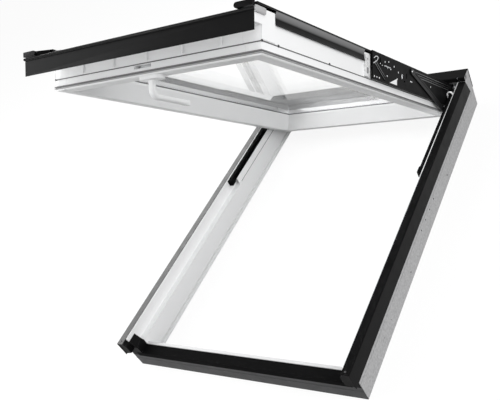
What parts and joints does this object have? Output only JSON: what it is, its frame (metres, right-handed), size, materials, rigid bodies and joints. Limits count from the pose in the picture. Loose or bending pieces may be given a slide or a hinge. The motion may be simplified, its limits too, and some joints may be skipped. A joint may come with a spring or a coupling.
{
  "type": "roof window",
  "caption": "Roof window: white stepped frame with dark cladding, glazed sash on hinged arms with stays, propped open; it hangs from the top, tilts about its middle and locks with a lever handle.",
  "frame": {"origin": "middle of the frame, on its room-side plane", "axes": "+X to the right seen from outside, +Y up the roof slope, +Z out of the roof"},
  "size_m": [0.783, 1.2015, 0.9239],
  "materials": {
    "white_pvc": "smooth white profile",
    "black_cladding": "satin black coat",
    "black_plastic": "moulded, fine grain",
    "black_steel": "dark coated steel",
    "grey_steel": "dark grey coated steel",
    "steel": "zinc plated",
    "apron": "dark grey coat",
    "glass": "clear",
    "spacer": "mill finish",
    "dark_rubber": "soft seal",
    "grey_rubber": "soft seal",
    "grey_plastic": "moulded"
  },
  "bodies": {
    "frame": {"frame_left_stile": "white_pvc", "frame_right_stile": "white_pvc", "frame_head": "white_pvc", "frame_sill": "white_pvc", "left_hinge_cover": "white_pvc", "right_hinge_cover": "white_pvc", "left_stile_cladding": "black_cladding", "right_stile_cladding": "black_cladding", "sill_cladding": "black_cladding", "hood": "black_cladding", "left_corner_shoe": "black_plastic", "right_corner_shoe": "black_plastic", "left_channel": "black_steel", "right_channel": "black_steel", "left_hinge_bracket": "steel", "right_hinge_bracket": "steel", "hinge_pins": "steel", "strike_plate": "steel", "frame_screws": "steel", "sill_apron": "apron"},
    "arms": {"left_arm": "black_steel", "right_arm": "black_steel", "left_arm_cladding": "black_cladding", "right_arm_cladding": "black_cladding", "top_cover": "black_cladding", "arm_rivets": "steel", "pivot_pins": "black_steel"},
    "sash": {"sash_left_stile": "white_pvc", "sash_right_stile": "white_pvc", "sash_top_rail": "white_pvc", "sash_bottom_rail": "white_pvc", "inner_pane": "glass", "outer_pane": "glass", "glass_spacer": "spacer", "inner_glazing_seal": "dark_rubber", "outer_glazing_bead": "black_cladding", "sash_seal": "dark_rubber", "room_seal": "grey_rubber", "bottom_cover": "black_cladding", "cover_clips": "white_pvc", "left_sash_cladding": "black_cladding", "right_sash_cladding": "black_cladding", "left_cladding_cap": "black_plastic", "right_cladding_cap": "black_plastic", "left_corner_cover": "white_pvc", "right_corner_cover": "white_pvc", "left_pivot_housing": "black_plastic", "right_pivot_housing": "black_plastic", "selector_case": "white_pvc", "handle_rose": "white_pvc"},
    "handle": {"handle_lever": "white_pvc", "handle_spindle": "steel", "lock_tongue": "steel"},
    "left_stay": {"left_stay": "grey_steel"},
    "right_stay": {"right_stay": "grey_steel"},
    "left_shoe": {"left_shoe": "grey_steel"},
    "right_shoe": {"right_shoe": "grey_steel"},
    "selector": {"selector_slider": "grey_plastic"}
  },
  "joints": [
    {"name": "top_hinge", "type": "hinge", "parent": "frame", "child": "arms", "pos_m": [0, 0.548, 0.104], "axis": [1, 0, 0], "range_deg": [0, 45]},
    {"name": "sash_pivot", "type": "hinge", "parent": "arms", "child": "sash", "pos_m": [0, 0.15485, 0.48584], "axis": [-1, 0, 0], "range_deg": [0, 160]},
    {"name": "handle_turn", "type": "hinge", "parent": "sash", "child": "handle", "pos_m": [0, -0.27507, 0.79414], "axis": [0, 0.7071, 0.7071], "range_deg": [0, 90]},
    {"name": "selector_slide", "type": "slide", "parent": "sash", "child": "selector", "axis": [0, 0.7071, 0.7071], "range_m": [0, 0.024]},
    {"name": "left_stay_turn", "type": "hinge", "parent": "arms", "child": "left_stay", "pos_m": [-0.343, 0.30068, 0.34566], "axis": [1, 0, 0], "range_deg": [0, 21.7]},
    {"name": "left_shoe_slide", "type": "slide", "parent": "frame", "child": "left_shoe", "axis": [0, 1, 0], "range_m": [0, 0.041]},
    {"name": "right_stay_turn", "type": "hinge", "parent": "arms", "child": "right_stay", "pos_m": [0.343, 0.30068, 0.34566], "axis": [1, 0, 0], "range_deg": [0, 21.7]},
    {"name": "right_shoe_slide", "type": "slide", "parent": "frame", "child": "right_shoe", "axis": [0, 1, 0], "range_m": [0, 0.041]}
  ],
  "couplings": [
    {"joint": "left_stay_turn", "follows": "top_hinge", "ratio": 0.48071},
    {"joint": "left_shoe_slide", "follows": "top_hinge", "m_per_rad": 0.051792},
    {"joint": "right_stay_turn", "follows": "top_hinge", "ratio": 0.48071},
    {"joint": "right_shoe_slide", "follows": "top_hinge", "m_per_rad": 0.051792}
  ]
}
